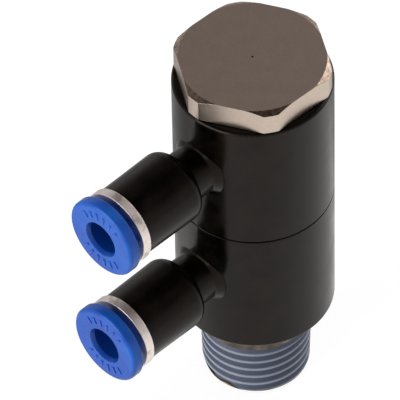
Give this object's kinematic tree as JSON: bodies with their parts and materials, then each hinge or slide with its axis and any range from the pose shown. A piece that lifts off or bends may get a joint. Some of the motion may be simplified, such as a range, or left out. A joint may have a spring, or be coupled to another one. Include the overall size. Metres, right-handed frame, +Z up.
{
  "type": "push-in manifold fitting",
  "caption": "Stacked swivel push-in fitting: two ring bodies with parallel tube ports on one hollow hexagon bolt with a male taper thread, for compressed air.",
  "frame": {"origin": "centre of the thread's end face, on the bolt's axis", "axes": "+Z up the bolt's axis to the hexagon head, +X out along both tube ports, +Y completes the right-handed frame"},
  "size_m": [0.0344, 0.0188, 0.0517],
  "materials": {
    "nickel_plated_brass": "satin nickel plate on turned brass",
    "nickel_plate": "bright nickel plate on turned brass",
    "sealant": "matt blue-grey dried coat",
    "spring_steel": "plain spring steel",
    "black_plastic": "satin moulded glass-filled plastic",
    "blue_plastic": "semi-gloss moulded plastic",
    "white_plastic": "plain moulded plastic",
    "seal_rubber": "matt nitrile rubber"
  },
  "bodies": {
    "bolt": {"banjo_bolt": "nickel_plated_brass", "thread_sealant": "sealant", "snap_ring": "spring_steel", "support_washer": "spring_steel", "lower_body_seal_bottom": "seal_rubber", "lower_body_seal_top": "seal_rubber", "upper_body_seal_bottom": "seal_rubber", "upper_body_seal_top": "seal_rubber"},
    "lower_ring_body": {"lower_body": "black_plastic", "lower_guide_ring": "nickel_plate", "lower_lock_claw": "spring_steel", "lower_claw_seat": "white_plastic", "lower_tube_seal": "seal_rubber"},
    "lower_sleeve": {"lower_release_sleeve": "blue_plastic"},
    "upper_ring_body": {"upper_body": "black_plastic", "upper_guide_ring": "nickel_plate", "upper_lock_claw": "spring_steel", "upper_claw_seat": "white_plastic", "upper_tube_seal": "seal_rubber"},
    "upper_sleeve": {"upper_release_sleeve": "blue_plastic"}
  },
  "joints": [
    {"name": "lower_body_swivel", "type": "hinge", "parent": "bolt", "child": "lower_ring_body", "pos_m": [0, 0, 0.02185], "axis": [0, 0, 1], "continuous": true},
    {"name": "lower_sleeve_push", "type": "slide", "parent": "lower_ring_body", "child": "lower_sleeve", "axis": [-1, 0, 0], "range_m": [0, 0.0008], "stiffness_N_per_m": 500},
    {"name": "upper_body_swivel", "type": "hinge", "parent": "bolt", "child": "upper_ring_body", "pos_m": [0, 0, 0.04015], "axis": [0, 0, 1], "continuous": true},
    {"name": "upper_sleeve_push", "type": "slide", "parent": "upper_ring_body", "child": "upper_sleeve", "axis": [-1, 0, 0], "range_m": [0, 0.0008], "stiffness_N_per_m": 500}
  ]
}
